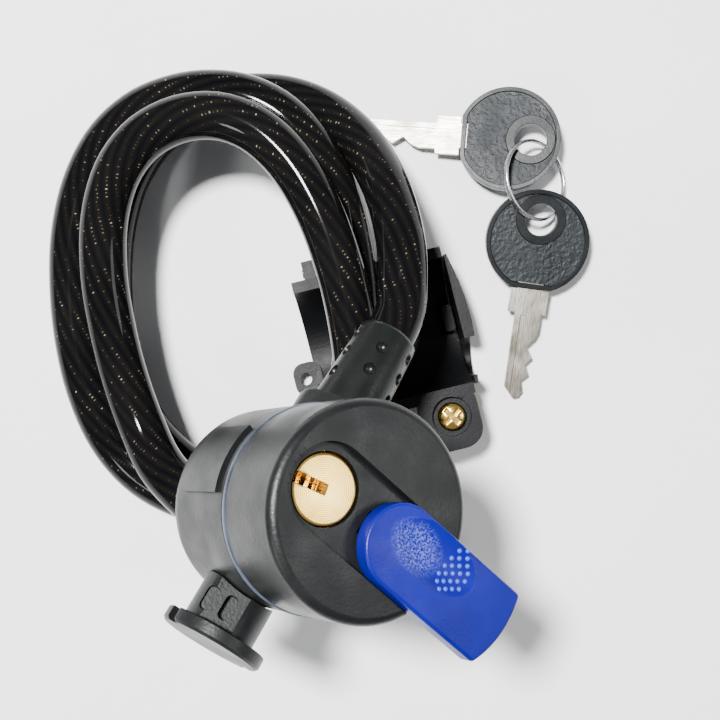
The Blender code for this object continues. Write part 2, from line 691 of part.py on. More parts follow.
def key_bow(name, frame, mat):
    edge = math.degrees(math.acos((BOW_FLAT - BOW_CENTRE) / BOW_R))
    outline = arc(BOW_CENTRE, 0, BOW_R, edge, 360 - edge, 32)
    bow = build(name, *prism(outline, -BOW_HALF, BOW_HALF), mat, frame)
    cut(bow, cylinder(HOLE_R, -5, 5, 20), None, frame)
    cut(bow, box(9.0, 20.0, -3.1, 3.1, -BLADE_HALF - GAP, BLADE_HALF + GAP), None, frame)
    return bow


def key_blade(name, frame, mat):
    """Tang, shoulder and blade with its cuts in one outline, grooved on its upper side."""
    outline = [(9.6, -2.8), (BOW_FLAT + GAP, -2.8), (BOW_FLAT + GAP, -4.3), (21.3, -4.3), (21.3, -2.6),
               (38.5, -2.6), (41.0, -0.4), (40.6, 0.8), (39.2, 1.6)]
    cuts = [(36.8, 0.9), (35.2, 2.4), (33.0, 1.3), (31.2, 2.6), (28.8, 1.0), (26.8, 2.6), (25.2, 3.2)]
    outline += cuts + [(21.3, 3.2), (21.3, 4.3), (BOW_FLAT + GAP, 4.3), (BOW_FLAT + GAP, 2.8),
                       (9.6, 2.8)]
    blade = build(name, *prism(outline, -BLADE_HALF, BLADE_HALF), mat, frame)
    cut(blade, box(21.8, 45.0, -1.3, -0.3, BLADE_HALF - 0.45, 3), None, frame)
    return blade


def key_ring(mat):
    a = Vector((KEY_A[0], KEY_A[1], KEY_Z))
    b = Vector((KEY_B[0], KEY_B[1], KEY_Z))
    middle = (a + b) / 2
    along = (b - a).normalized()
    radius = (b - a).length / 2
    side = Vector((-along.y, along.x, 0))
    tilt = math.radians(RING_TILT)
    side = side * math.cos(tilt) + Vector((0, 0, -1)) * math.sin(tilt)
    angles = [2 * math.pi * k / 36 for k in range(36)]
    path = [middle + (along * math.cos(t) + side * math.sin(t)) * radius for t in angles]
    return build("key_ring", *sweep(path, RING_WIRE, 8, closed=True), mat)


# ---------------------------------------------------------------- the whole object

def main():
    for obj in list(bpy.data.objects):
        bpy.data.objects.remove(obj)

    charcoal = (0.035, 0.038, 0.040)
    lock = empty("lock_frame", LOCK)
    front_cap(lock, material("cap_plastic", charcoal, 0.55))
    seam_ring(lock, material("seam_gasket", (0.10, 0.11, 0.16), 0.4))
    rear_shell(lock, material("shell_plastic", charcoal, 0.5))
    brass = (0.80, 0.62, 0.25)
    cylinder_housing(lock, material("housing_brass", brass, 0.35, 1.0))
    lock_plug(lock, material("plug_brass", brass, 0.25, 1.0))
    for k, depth in enumerate(wafer_depths()):
        wafer(lock, material("wafer_brass_%d" % (k + 1), brass, 0.4, 1.0), k + 1, depth)
    steel = (0.55, 0.56, 0.58)
    lock_cam(lock, material("cam_steel", steel, 0.4, 1.0))
    locking_bolt(lock, material("bolt_steel", steel, 0.35, 1.0))
    bolt_guide(lock, material("guide_zinc", (0.5, 0.5, 0.5), 0.5, 1.0))
    bolt_spring(lock, material("spring_steel", steel, 0.3, 1.0))
    socket_liner(lock, material("liner_steel", steel, 0.35, 1.0))
    for k, (radius, angle) in enumerate(CASE_SCREWS):
        case_screw(lock, material("case_screw_steel_%d" % (k + 1), steel, 0.35, 1.0), k + 1, angle, radius)
    dust_cover(lock, material("cover_blue", (0.02, 0.03, 0.65), 0.35))
    sleeve_grey = (0.04, 0.045, 0.045)
    cable_sleeve(lock, material("sleeve_pvc", sleeve_grey, 0.4))
    cable_ferrule(lock, material("ferrule_steel", steel, 0.4, 1.0))
    mount_stud(lock, material("stud_plastic", (0.06, 0.06, 0.065), 0.45))
    stud_screw(lock, material("stud_screw_steel", steel, 0.4, 1.0))

    cable(material("cable_pvc", (0.02, 0.02, 0.02), 0.15))
    free = free_end_frame()
    free_sleeve(material("free_sleeve_pvc", sleeve_grey, 0.4), free)
    locking_pin(material("pin_steel", steel, 0.25, 1.0), free)

    bracket = empty("bracket_frame", turn_z(BRACKET_ANGLE))
    black = (0.015, 0.015, 0.017)
    bracket_saddle(bracket, material("saddle_plastic", black, 0.25))
    bracket_strap(bracket, material("strap_plastic", black, 0.35))
    hinge_pin(bracket, material("hinge_pin_steel", steel, 0.3, 1.0))
    clamp_screw(bracket, material("clamp_screw_brass", brass, 0.25, 1.0))
    clamp_nut(bracket, material("clamp_nut_brass", brass, 0.35, 1.0))
    mount_plate(bracket, material("plate_plastic", black, 0.3))
    release_tab(bracket, material("tab_plastic", black, 0.3))

    for letter, spec in (("a", KEY_A), ("b", KEY_B)):
        frame = empty("key_%s_frame" % letter, key_frame(spec))
        bow_mat = material("bow_plastic_" + letter, (0.05, 0.06, 0.07), 0.45)
        key_bow("key_%s_bow" % letter, frame, bow_mat)
        blade_mat = material("blade_nickel_" + letter, (0.72, 0.70, 0.62), 0.3, 1.0)
        key_blade("key_%s_blade" % letter, frame, blade_mat)
    key_ring(material("ring_steel", (0.7, 0.7, 0.72), 0.2, 1.0))


main()
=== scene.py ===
"""Looks of the coiled cable lock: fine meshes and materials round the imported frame.

Shapes are worked out in millimetres, in the same frames as the CAD, and made in metres.
"""
import math

import bmesh
import bpy
from mathutils import Matrix, Vector


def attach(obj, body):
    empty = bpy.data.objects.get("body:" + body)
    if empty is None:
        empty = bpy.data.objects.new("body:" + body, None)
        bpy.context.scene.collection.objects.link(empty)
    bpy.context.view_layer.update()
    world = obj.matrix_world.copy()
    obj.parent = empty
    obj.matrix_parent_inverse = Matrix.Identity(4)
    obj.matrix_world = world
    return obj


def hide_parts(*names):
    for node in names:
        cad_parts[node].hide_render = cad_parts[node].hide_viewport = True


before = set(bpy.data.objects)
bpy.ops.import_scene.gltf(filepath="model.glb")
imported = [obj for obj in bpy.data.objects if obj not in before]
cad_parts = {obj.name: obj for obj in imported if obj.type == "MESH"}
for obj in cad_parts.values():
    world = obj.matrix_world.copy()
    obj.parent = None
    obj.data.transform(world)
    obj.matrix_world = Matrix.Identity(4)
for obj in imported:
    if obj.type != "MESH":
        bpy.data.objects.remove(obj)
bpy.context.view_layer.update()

MM = 0.001
GAP = 0.3

# ---- lock barrel, the same numbers as the CAD ----
BARREL_R, BARREL_LEN, WALL, SEAM, RING_THICK = 18.5, 46.3, 2.0, 17.6, 0.6
REAR_ROUND = 7.4
FACE_CENTRE = (-0.91, -28.7, 81.0)
BARREL_AXIS = (0.4935, 0.0896, 0.8651)
PLUG_X, PLUG_Y, PLUG_R, PLUG_FACE, PLUG_END = -7.6, 3.5, 5.9, -2.3, -23.6
HOUSING_R, KEYWAY_ANGLE = 7.6, 158.0
SLIDE_ANGLE, CHANNEL_OFFSET, CHANNEL_HALF, CHANNEL_DEPTH = -37.5, -1.7, 7.6, 2.0
COVER_HALF, COVER_INNER, COVER_END_CENTRE, COVER_TOP = 7.25, 7.4, 13.4, 1.9
STIPPLE_X, STIPPLE_Y, STIPPLE_LONG, STIPPLE_WIDE = 9.6, 1.6, 6.4, 4.6
CROSS_DEPTH, CROSS_ANGLE = 30.5, 33.0
BOSS_R, BOSS_END = 9.2, 20.8
SLEEVE_START, SLEEVE_END, SLEEVE_R0, SLEEVE_R1 = 12.3, 39.3, 6.9, 5.9
STUD_R, FLANGE_R, FLANGE_START, FLANGE_END, STUD_FLAT_ANGLE = 6.75, 9.6, 25.9, 28.4, -23.6
SOCKET_X, SOCKET_Y, LINER_R = 4.6, -5.6, 5.2
CABLE_D = 10.0

# ---- bracket and keys ----
BRACKET_ANGLE = 14.0
SADDLE_R, SADDLE_WALL, SADDLE_AXIS_Z, SADDLE_TOP = 16.5, 2.4, 17.3, 15.5
SADDLE_X0, SADDLE_X1 = -14.5, 18.8
SCREW_X, SCREW_Y = 12.5, -20.2
KEY_Z, KEY_TILT = 6.5, 7.3
KEY_A, KEY_B = (35.4, 45.1, 175.0), (37.6, 27.3, -97.5)
BOW_R, BOW_CENTRE, BOW_FLAT, BOW_HALF, HOLE_R, BLADE_HALF = 11.6, 4.9, 15.6, 1.45, 3.6, 0.75
RING_TILT, RING_WIRE = 36.0, 0.7

SHARP = math.radians(38)


# ---------------------------------------------------------------- mesh helpers

def rotation_frame(origin, x_axis, z_axis):
    """Matrix of a frame with this origin (mm), +Z along z_axis and +X nearest x_axis."""
    z = Vector(z_axis).normalized()
    x = Vector(x_axis)
    x = (x - z * x.dot(z)).normalized()
    rot = Matrix((x, z.cross(x), z)).transposed().to_4x4()
    return Matrix.Translation(Vector(origin) * MM) @ rot


def build(name, shape, mat, place):
    """One mesh object from points in mm, closed and facing out."""
    points, faces = shape
    mesh = bpy.data.meshes.new(name)
    mesh.from_pydata([tuple(c * MM for c in p) for p in points], [], faces)
    mesh.validate()
    work = bmesh.new()
    work.from_mesh(mesh)
    bmesh.ops.recalc_face_normals(work, faces=work.faces)
    work.to_mesh(mesh)
    work.free()
    obj = bpy.data.objects.new(name, mesh)
    bpy.context.collection.objects.link(obj)
    obj.matrix_world = place
    if mat:
        mesh.materials.append(mat)
    return obj


def boolean(obj, shape, operation, place):
    guide = build(obj.name + "_guide", shape, None, place)
    guide.hide_render = True
    mod = obj.modifiers.new(operation.lower(), "BOOLEAN")
    mod.object = guide
    mod.operation = operation
    mod.solver = "EXACT"


def cut(obj, shape, place):
    boolean(obj, shape, "DIFFERENCE", place)


def join(obj, shape, place):
    boolean(obj, shape, "UNION", place)


def settle(obj, bevel=0.0, segments=2, angle=38):
    """Applies the modifiers, after a bevel of this width in mm, and removes the guides."""
    if bevel:
        weld = obj.modifiers.new("weld", "WELD")
        weld.merge_threshold = 0.00001
        mod = obj.modifiers.new("edge", "BEVEL")
        mod.width = bevel * MM
        mod.segments = segments
        mod.limit_method = "ANGLE"
        mod.angle_limit = math.radians(angle)
    guides = [m.object for m in obj.modifiers if m.type == "BOOLEAN"]
    bpy.context.view_layer.update()
    evaluated = obj.evaluated_get(bpy.context.evaluated_depsgraph_get())
    mesh = bpy.data.meshes.new_from_object(evaluated)
    obj.modifiers.clear()
    obj.data = mesh
    mesh.shade_smooth()
    mesh.set_sharp_from_angle(angle=SHARP)
    for guide in guides:
        bpy.data.objects.remove(guide)
    even = obj.modifiers.new("even", "WEIGHTED_NORMAL")
    even.keep_sharp = True
    bpy.context.view_layer.update()
    evaluated = obj.evaluated_get(bpy.context.evaluated_depsgraph_get())
    mesh = bpy.data.meshes.new_from_object(evaluated)
    obj.modifiers.clear()
    obj.data = mesh
    return obj


def revolve(profile, segments):
    """Points and faces of a profile of (radius, height) turned about Z."""
    points, rows = [], []
    for radius, height in profile:
        if radius < 1e-6:
            rows.append([len(points)])
            points.append((0.0, 0.0, height))
            continue
        rows.append(list(range(len(points), len(points) + segments)))
        for k in range(segments):
            a = 2 * math.pi * k / segments
            points.append((radius * math.cos(a), radius * math.sin(a), height))
    faces = []
    count = len(rows)
    solid = len(rows[0]) == 1 and len(rows[-1]) == 1
    for i in range(count - 1 if solid else count):
        low, high = rows[i], rows[(i + 1) % count]
        for k in range(segments):
            n = (k + 1) % segments
            if len(low) == 1:
                faces.append((low[0], high[n], high[k]))
            elif len(high) == 1:
                faces.append((low[k], low[n], high[0]))
            else:
                faces.append((low[k], low[n], high[n], high[k]))
    return points, faces


def prism(outline, z0, z1):
    n = len(outline)
    points = [(x, y, z0) for x, y in outline] + [(x, y, z1) for x, y in outline]
    faces = [tuple(range(n))[::-1], tuple(range(n, 2 * n))]
    faces += [(k, (k + 1) % n, n + (k + 1) % n, n + k) for k in range(n)]
    return points, faces


def box(x0, x1, y0, y1, z0, z1):
    return prism([(x0, y0), (x1, y0), (x1, y1), (x0, y1)], z0, z1)


def arc(cx, cy, radius, start, end, count):
    step = (end - start) / count
    return [(cx + radius * math.cos(math.radians(start + step * k)),
             cy + radius * math.sin(math.radians(start + step * k))) for k in range(count + 1)]


def rounded_rectangle(x0, x1, y0, y1, radius, count=8):
    return (arc(x1 - radius, y1 - radius, radius, 0, 90, count)
            + arc(x0 + radius, y1 - radius, radius, 90, 180, count)
            + arc(x0 + radius, y0 + radius, radius, 180, 270, count)
            + arc(x1 - radius, y0 + radius, radius, 270, 360, count))


def cylinder(radius, z0, z1, segments=48):
    return revolve([(0, z0), (radius, z0), (radius, z1), (0, z1)], segments)


def ball(radius, segments=48, rings=24):
    profile = [(radius * math.sin(math.pi * k / rings), -radius * math.cos(math.pi * k / rings))
               for k in range(rings + 1)]
    profile[0], profile[-1] = (0, -radius), (0, radius)
    return revolve(profile, segments)


def sweep(path, radius, sides, closed=False):
    """Points and faces of a round wire along a path in mm."""
    path = [Vector(p) for p in path]
    n = len(path)
    points, faces = [], []
    side = None
    for k in range(n):
        before = path[k - 1] if (closed or k > 0) else path[k]
        after = path[(k + 1) % n] if (closed or k < n - 1) else path[k]
        along = (after - before).normalized()
        if side is None:
            side = along.orthogonal()
        side = (side - along * side.dot(along)).normalized()
        up = along.cross(side)
        for s in range(sides):
            a = 2 * math.pi * s / sides
            points.append(tuple(path[k] + (side * math.cos(a) + up * math.sin(a)) * radius))
    for k in range(n if closed else n - 1):
        for s in range(sides):
            faces.append((k * sides + s, k * sides + (s + 1) % sides,
                          ((k + 1) % n) * sides + (s + 1) % sides, ((k + 1) % n) * sides + s))
    if not closed:
        faces.append(tuple(range(sides))[::-1])
        faces.append(tuple(range((n - 1) * sides, n * sides)))
    return points, faces


def shift(x, y, z=0.0):
    return Matrix.Translation(Vector((x, y, z)) * MM)


def turn_z(degrees):
    return Matrix.Rotation(math.radians(degrees), 4, "Z")


# along a tube: +Z of the shape runs along X, and its X and Y along Y and Z
ACROSS = Matrix(((0, 0, 1, 0), (1, 0, 0, 0), (0, 1, 0, 0), (0, 0, 0, 1)))

LOCK = rotation_frame(FACE_CENTRE, (1, 0, 0), BARREL_AXIS)
CROSS_DIRECTION = (math.sin(math.radians(CROSS_ANGLE)), math.cos(math.radians(CROSS_ANGLE)), 0)
CROSS = LOCK @ rotation_frame((0, 0, -CROSS_DEPTH), (0, 0, 1), CROSS_DIRECTION)
STUD = CROSS @ turn_z(STUD_FLAT_ANGLE) @ Matrix.Rotation(math.pi, 4, "X")
SLIDE = LOCK @ turn_z(SLIDE_ANGLE)
BRACKET = turn_z(BRACKET_ANGLE)
CASE_SCREWS = [(12.2, 10), (13.6, 103), (12.2, 266)]


# ---------------------------------------------------------------- materials

class Nodes:
    """A material's node tree, with short calls for the nodes that these materials use."""

    def __init__(self, name, roughness, metallic=0.0, ior=1.5):
        self.mat = bpy.data.materials.new(name)
        self.mat.use_nodes = True
        self.tree = self.mat.node_tree
        self.shader = self.tree.nodes["Principled BSDF"]
        self.shader.inputs["Roughness"].default_value = roughness
        self.shader.inputs["Metallic"].default_value = metallic
        self.shader.inputs["IOR"].default_value = ior
        self.coords = self.tree.nodes.new("ShaderNodeTexCoord")

    def link(self, a, b):
        self.tree.links.new(a, b)

    def noise(self, scale, detail=3.0, rough=0.5, source=None):
        node = self.tree.nodes.new("ShaderNodeTexNoise")
        node.inputs["Scale"].default_value = scale
        node.inputs["Detail"].default_value = detail
        node.inputs["Roughness"].default_value = rough
        self.link(source or self.coords.outputs["Object"], node.inputs["Vector"])
        return node.outputs["Fac"]

    def cells(self, scale):
        node = self.tree.nodes.new("ShaderNodeTexVoronoi")
        node.inputs["Scale"].default_value = scale
        self.link(self.coords.outputs["Object"], node.inputs["Vector"])
        return node.outputs["Distance"]

    def ramp(self, fac, *stops):
        node = self.tree.nodes.new("ShaderNodeValToRGB")
        while len(node.color_ramp.elements) < len(stops):
            node.color_ramp.elements.new(0.5)
        for element, (place, color) in zip(node.color_ramp.elements, stops):
            element.position = place
            element.color = (*color, 1.0) if len(color) == 3 else (*color * 3, 1.0)
        self.link(fac, node.inputs["Fac"])
        return node.outputs["Color"]

    def math(self, kind, a, b=None):
        node = self.tree.nodes.new("ShaderNodeMath")
        node.operation = kind
        for socket, value in zip(node.inputs, (a, b)):
            if isinstance(value, (int, float)):
                socket.default_value = value
            elif value is not None:
                self.link(value, socket)
        return node.outputs[0]

    def color(self, socket):
        self.link(socket, self.shader.inputs["Base Color"])

    def roughness(self, socket):
        self.link(socket, self.shader.inputs["Roughness"])

    def bump(self, height, distance, strength=1.0, under=None):
        node = self.tree.nodes.new("ShaderNodeBump")
        node.inputs["Distance"].default_value = distance * MM
        node.inputs["Strength"].default_value = strength
        self.link(height, node.inputs["Height"])
        if under:
            self.link(under, node.inputs["Normal"])
        self.link(node.outputs["Normal"], self.shader.inputs["Normal"])
        return node.outputs["Normal"]


def moulded(name, dark, light, roughness, grain=2600, depth=0.05, ior=1.5):
    """Moulded plastic: spark-eroded grain, faint blotches and small changes of gloss."""
    n = Nodes(name, roughness, ior=ior)
    n.color(n.ramp(n.noise(90, 5), (0.3, dark), (0.75, light)))
    low, high = roughness - 0.06, roughness + 0.08
    n.roughness(n.ramp(n.noise(160, 4), (0.3, (low,) * 3), (0.7, (high,) * 3)))
    fine = n.bump(n.noise(grain, 2), depth, 0.7)
    n.bump(n.cells(grain * 0.6), depth * 0.6, 0.5, under=fine)
    return n.mat


def cover_plastic(name):
    """Deep blue plastic; the half of the thumb scoop nearer the plug is stippled, and pale speckles on it are painted
    highlight, the sparkle of light on the stipple.
    """
    n = Nodes(name, 0.36, ior=1.32)
    body = n.ramp(n.noise(90, 5), (0.3, (0.0004, 0.0009, 0.13)), (0.75, (0.0012, 0.0022, 0.22)))
    mapping = n.tree.nodes.new("ShaderNodeMapping")
    mapping.vector_type = "TEXTURE"
    middle = SLIDE @ Matrix.Translation(Vector((STIPPLE_X, CHANNEL_OFFSET + STIPPLE_Y, 0.0)) * MM)
    mapping.inputs["Location"].default_value = middle.translation
    mapping.inputs["Rotation"].default_value = middle.to_euler()
    mapping.inputs["Scale"].default_value = Vector((STIPPLE_LONG, STIPPLE_WIDE, 1000.0)) * MM
    n.link(n.coords.outputs["Object"], mapping.inputs["Vector"])
    patch = n.tree.nodes.new("ShaderNodeTexGradient")
    patch.gradient_type = "SPHERICAL"
    n.link(mapping.outputs["Vector"], patch.inputs["Vector"])
    inside = n.ramp(patch.outputs["Fac"], (0.02, (0.0,) * 3), (0.45, (1.0,) * 3))
    # painted highlight: pale speckles for the sparkle of light on the stippled patch
    painted_sparkle = n.ramp(n.noise(2600, 2, 0.7), (0.42, (0.0,) * 3), (0.62, (1.0,) * 3))
    mix = n.tree.nodes.new("ShaderNodeMixRGB")
    n.link(n.math("MULTIPLY", n.math("MULTIPLY", inside, painted_sparkle), 0.55), mix.inputs["Fac"])
    n.link(body, mix.inputs["Color1"])
    # pale blue of the painted sparkle
    mix.inputs["Color2"].default_value = (0.16, 0.20, 0.75, 1.0)
    n.color(mix.outputs[0])
    n.roughness(n.ramp(n.noise(160, 4), (0.3, (0.30,) * 3), (0.7, (0.44,) * 3)))
    fine = n.bump(n.noise(2600, 2), 0.04, 0.7)
    n.bump(n.math("MULTIPLY", inside, n.cells(1500)), 0.12, 0.6, under=fine)
    return n.mat


def metal(name, dark, light, roughness, scratches=500, depth=0.01):
    """Worn metal: slow changes of tone, fine scratches along one direction."""
    n = Nodes(name, roughness, metallic=1.0)
    n.color(n.ramp(n.noise(170, 5), (0.3, dark), (0.7, light)))
    mapping = n.tree.nodes.new("ShaderNodeMapping")
    mapping.inputs["Scale"].default_value = (1.0, 14.0, 3.0)
    n.link(n.coords.outputs["Object"], mapping.inputs["Vector"])
    streak = n.noise(scratches, 4, source=mapping.outputs["Vector"])
    n.roughness(n.ramp(streak, (0.25, (max(roughness - 0.1, 0.05),) * 3), (0.8, (roughness + 0.14,) * 3)))
    n.bump(streak, depth, 0.6)
    return n.mat


def turned_brass(name):
    """Brass face with the rings that turning leaves."""
    n = Nodes(name, 0.30, metallic=1.0)
    n.color(n.ramp(n.noise(300, 5), (0.3, (0.88, 0.54, 0.11)), (0.7, (1.0, 0.74, 0.25))))
    wave = n.tree.nodes.new("ShaderNodeTexWave")
    wave.wave_type = "RINGS"
    wave.rings_direction = "Z"
    wave.inputs["Scale"].default_value = 900
    wave.inputs["Distortion"].default_value = 0.6
    n.link(n.coords.outputs["Object"], wave.inputs["Vector"])
    n.roughness(n.ramp(wave.outputs["Fac"], (0.2, (0.26,) * 3), (0.8, (0.38,) * 3)))
    n.bump(wave.outputs["Fac"], 0.002, 0.3)
    return n.mat


def rope_cover(name):
    """Clear smoky cover over a wire rope: rows of wire glints, painted as pale gold highlights in the base colour,
    wind round the cable.

    The UV map holds the distance along the cable in metres, and the turn round it.
    """
    n = Nodes(name, 0.075, ior=1.19)
    split = n.tree.nodes.new("ShaderNodeSeparateXYZ")
    n.link(n.coords.outputs["UV"], split.inputs[0])
    along, around = split.outputs[0], split.outputs[1]

    def peaks(per_turn, per_metre, narrow):
        """Ridges of height 1 that wind round the cable, narrower as narrow grows."""
        place = n.math("ADD", n.math("MULTIPLY", around, per_turn), n.math("MULTIPLY", along, per_metre))
        off = n.math("ABSOLUTE", n.math("SUBTRACT", n.math("FRACT", place), 0.5))
        return n.math("MAXIMUM", n.math("SUBTRACT", 1.0, n.math("MULTIPLY", off, narrow)), 0.0)

    strands = peaks(14.0, 150.0, 6.5)
    wires = peaks(-14.0, 1150.0, 5.0)
    some = n.ramp(n.noise(1100, 1, 0.5), (0.53, (0.0,) * 3), (0.74, (1.0,) * 3))
    patchy = n.ramp(n.noise(120, 3, 0.6), (0.42, (0.05,) * 3), (0.66, (0.8,) * 3))
    # painted highlight: pale gold glints of the wires, put into the base colour
    painted_glint = n.math("MULTIPLY", n.math("MULTIPLY", strands, wires), n.math("MULTIPLY", some, patchy))
    body = n.ramp(n.noise(60, 4), (0.3, (0.0012, 0.0015, 0.0024)), (0.7, (0.0035, 0.0036, 0.0042)))
    haze = n.tree.nodes.new("ShaderNodeMixRGB")
    n.link(n.math("MULTIPLY", peaks(14.0, 150.0, 2.0), 0.16), haze.inputs["Fac"])
    n.link(body, haze.inputs["Color1"])
    haze.inputs["Color2"].default_value = (0.026, 0.021, 0.012, 1.0)
    # the mix below lays the painted highlight colour of the wire glints over the cover
    mix = n.tree.nodes.new("ShaderNodeMixRGB")
    n.link(painted_glint, mix.inputs["Fac"])
    n.link(haze.outputs[0], mix.inputs["Color1"])
    mix.inputs["Color2"].default_value = (0.95, 0.80, 0.50, 1.0)
    n.color(mix.outputs[0])
    n.bump(n.noise(120, 2), 0.03, 0.25)
    return n.mat


# ---------------------------------------------------------------- camera, lights and floor

def camera():
    """Straight above the object, looking down."""
    data = bpy.data.cameras.new("camera")
    data.lens = 58.5
    data.sensor_width = 36.0
    data.clip_start = 0.01
    cam = bpy.data.objects.new("camera", data)
    cam.location = (-0.003, -0.0043, 0.270)
    bpy.context.collection.objects.link(cam)
    bpy.context.scene.camera = cam


def area_light(name, place, size, power, target=(0.0, 0.0, 0.03)):
    data = bpy.data.lights.new(name, "AREA")
    data.shape = "DISK"
    data.size = size
    data.energy = power
    light = bpy.data.objects.new(name, data)
    light.location = place
    light.rotation_mode = "QUATERNION"
    light.rotation_quaternion = (Vector(target) - Vector(place)).to_track_quat("-Z", "Y")
    bpy.context.collection.objects.link(light)


def studio():
    area_light("key_light", (-0.14, 0.12, 0.64), 0.09, 14.0)
    area_light("face_light", (0.56, 0.01, 0.45), 0.20, 1.1)
    area_light("rim_light", (-0.45, -0.35, 0.50), 0.12, 1.4)
    world = bpy.data.worlds.new("studio")
    world.use_nodes = True
    background = world.node_tree.nodes["Background"]
    background.inputs["Color"].default_value = (0.95, 0.97, 1.0, 1.0)
    background.inputs["Strength"].default_value = 0.26
    bpy.context.scene.world = world

    floor_z = -0.0002
    mesh = bpy.data.meshes.new("floor")
    corners = [(-3, -3, floor_z), (3, -3, floor_z), (3, 3, floor_z), (-3, 3, floor_z)]
    mesh.from_pydata(corners, [], [(0, 1, 2, 3)])
    floor = bpy.data.objects.new("floor", mesh)
    bpy.context.collection.objects.link(floor)
    n = Nodes("floor_paper", 0.9)
    n.color(n.ramp(n.noise(30, 4), (0.3, (0.97, 0.97, 0.98)), (0.7, (1.0, 1.0, 1.0))))
    mesh.materials.append(n.mat)


# ---------------------------------------------------------------- cable

TURNS = [(-26.8, 11.0, 33.4, 44.6, 3.9), (-34.8, 9.0, 31.6, 44.6, 5.5),
         (-30.2, 3.6, 25.6, 43.9, 13.4)]
SQUARENESS = 0.022
CROSSOVER = (232.0, 338.0)
HEIGHTS = [(8, 36.0), (20, 30.4), (30, 25.0), (40, 19.2), (50, 14.7), (60, 12.0), (75, 10.0),
           (97, 7.4), (120, 5.6), (145, 5.2), (240, 5.2), (258, 6.0), (270, 7.2), (280, 9.2),
           (290, 12.3), (300, 16.0), (308, 19.2), (316, 21.0), (390, 21.0), (420, 22.0),
           (440, 20.8), (470, 18.0), (500, 14.8), (530, 13.7), (560, 13.6), (592, 14.0),
           (618, 16.5), (630, 17.9), (640, 20.6), (650, 24.2), (660, 27.4), (668, 29.6),
           (676, 31.3), (750, 31.4), (780, 30.5), (810, 28.8), (840, 26.4), (870, 23.8),
           (900, 21.4), (923, 22.0)]
LEAD_OUT = [(4.85, 5.0, 38.9), (5.4, 9.2, 37.9)]
FREE_END = [(-44.8, -26.6, 24.0), (-38.0, -33.2, 26.6), (-30.8, -38.8, 27.2), (-25.0, -44.4, 25.2)]
FREE_AXIS = (0.86, -0.32, -0.40)
FINE_STEP = 2.0


def height_at(angle):
    for (a0, z0), (a1, z1) in zip(HEIGHTS, HEIGHTS[1:]):
        if angle <= a1:
            return z0 + (z1 - z0) * (angle - a0) / (a1 - a0)
    return HEIGHTS[-1][1]


def coil_point(angle):
    """Middle of the cable at an angle in degrees, counted on through the turns."""
    turn = int(angle // 360)
    within = angle - 360 * turn
    low, high = CROSSOVER
    share = min(max((within - low) / (high - low), 0.0), 1.0)
    share = share * share * (3 - 2 * share)
    here = TURNS[min(turn, 2)]
    following = TURNS[min(turn + 1, 2)]
    cx, cy, a, b, lean = [p + (q - p) * share for p, q in zip(here, following)]
    t = math.radians(angle)
    swell = 1 - SQUARENESS * math.cos(4 * t)
    x, y = a * swell * math.cos(t), b * swell * math.sin(t)
    c, s = math.cos(math.radians(lean)), math.sin(math.radians(lean))
    return Vector((cx + x * c - y * s, cy + x * s + y * c, height_at(angle)))


def cable_points():
    start = CROSS.translation / MM
    along = CROSS.to_3x3() @ Vector((0, 0, 1))
    points = [start + along * d for d in (21.8, 30.0, 38.0, 40.3)]
    points += [Vector(p) for p in LEAD_OUT]
    points += [coil_point(8 + 15 * k) for k in range(62)]
    points += [Vector(p) for p in FREE_END]
    tail = Vector(FREE_AXIS).normalized()
    points += [Vector(FREE_END[-1]) + tail * d for d in (4.0, 8.0, 12.0)]
    return points


def smooth(points, step):
    """Evenly spaced points on a Catmull-Rom curve through the given points."""
    fine = []
    for k in range(len(points) - 1):
        p0, p1, p2 = points[max(k - 1, 0)], points[k], points[k + 1]
        p3 = points[min(k + 2, len(points) - 1)]
        for i in range(12):
            t = i / 12
            fine.append(0.5 * ((2 * p1) + (p2 - p0) * t + (2 * p0 - 5 * p1 + 4 * p2 - p3) * t ** 2
                               + (3 * p1 - p0 - 3 * p2 + p3) * t ** 3))
    fine.append(points[-1])
    lengths = [0.0]
    for a, b in zip(fine, fine[1:]):
        lengths.append(lengths[-1] + (b - a).length)
    count = round(lengths[-1] / step)
    even, k = [], 0
    for i in range(count + 1):
        want = lengths[-1] * i / count
        while k < len(fine) - 2 and lengths[k + 1] < want:
            k += 1
        t = (want - lengths[k]) / (lengths[k + 1] - lengths[k])
        even.append(fine[k].lerp(fine[k + 1], t))
    return even


def cable():
    """The cable as one tube, with a UV map that the wire rope's pattern follows."""
    route = smooth(cable_points(), FINE_STEP)
    sides = 40
    points, faces = sweep(route, CABLE_D / 2, sides)
    obj = build("coiled_cable", (points, faces), rope_cover("smoky_pvc_rope"), Matrix.Identity(4))
    length = sum((b - a).length for a, b in zip(route, route[1:]))
    layer = obj.data.uv_layers.new(name="UVMap")
    ring = length / (len(route) - 1) * MM
    for face in obj.data.polygons:
        columns = [i % sides for i in face.vertices]
        wraps = max(columns) - min(columns) > sides / 2
        for loop, vertex, column in zip(face.loop_indices, face.vertices, columns):
            turn = column + (sides if wraps and column < sides / 2 else 0)
            layer.data[loop].uv = (vertex // sides * ring, turn / sides)
    settle(obj)
    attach(obj, "lock")
    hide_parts("cable")


# ---------------------------------------------------------------- the whole scene

def take(obj, node, body, slot):
    """The piece stands for this CAD node; metals keep their own frame, which their grain follows."""
    if slot not in ("brass", "nickel_silver", "steel"):
        obj.data.transform(obj.matrix_world)
        obj.matrix_world = Matrix.Identity(4)
    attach(obj, body)
    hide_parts(node)
    return obj


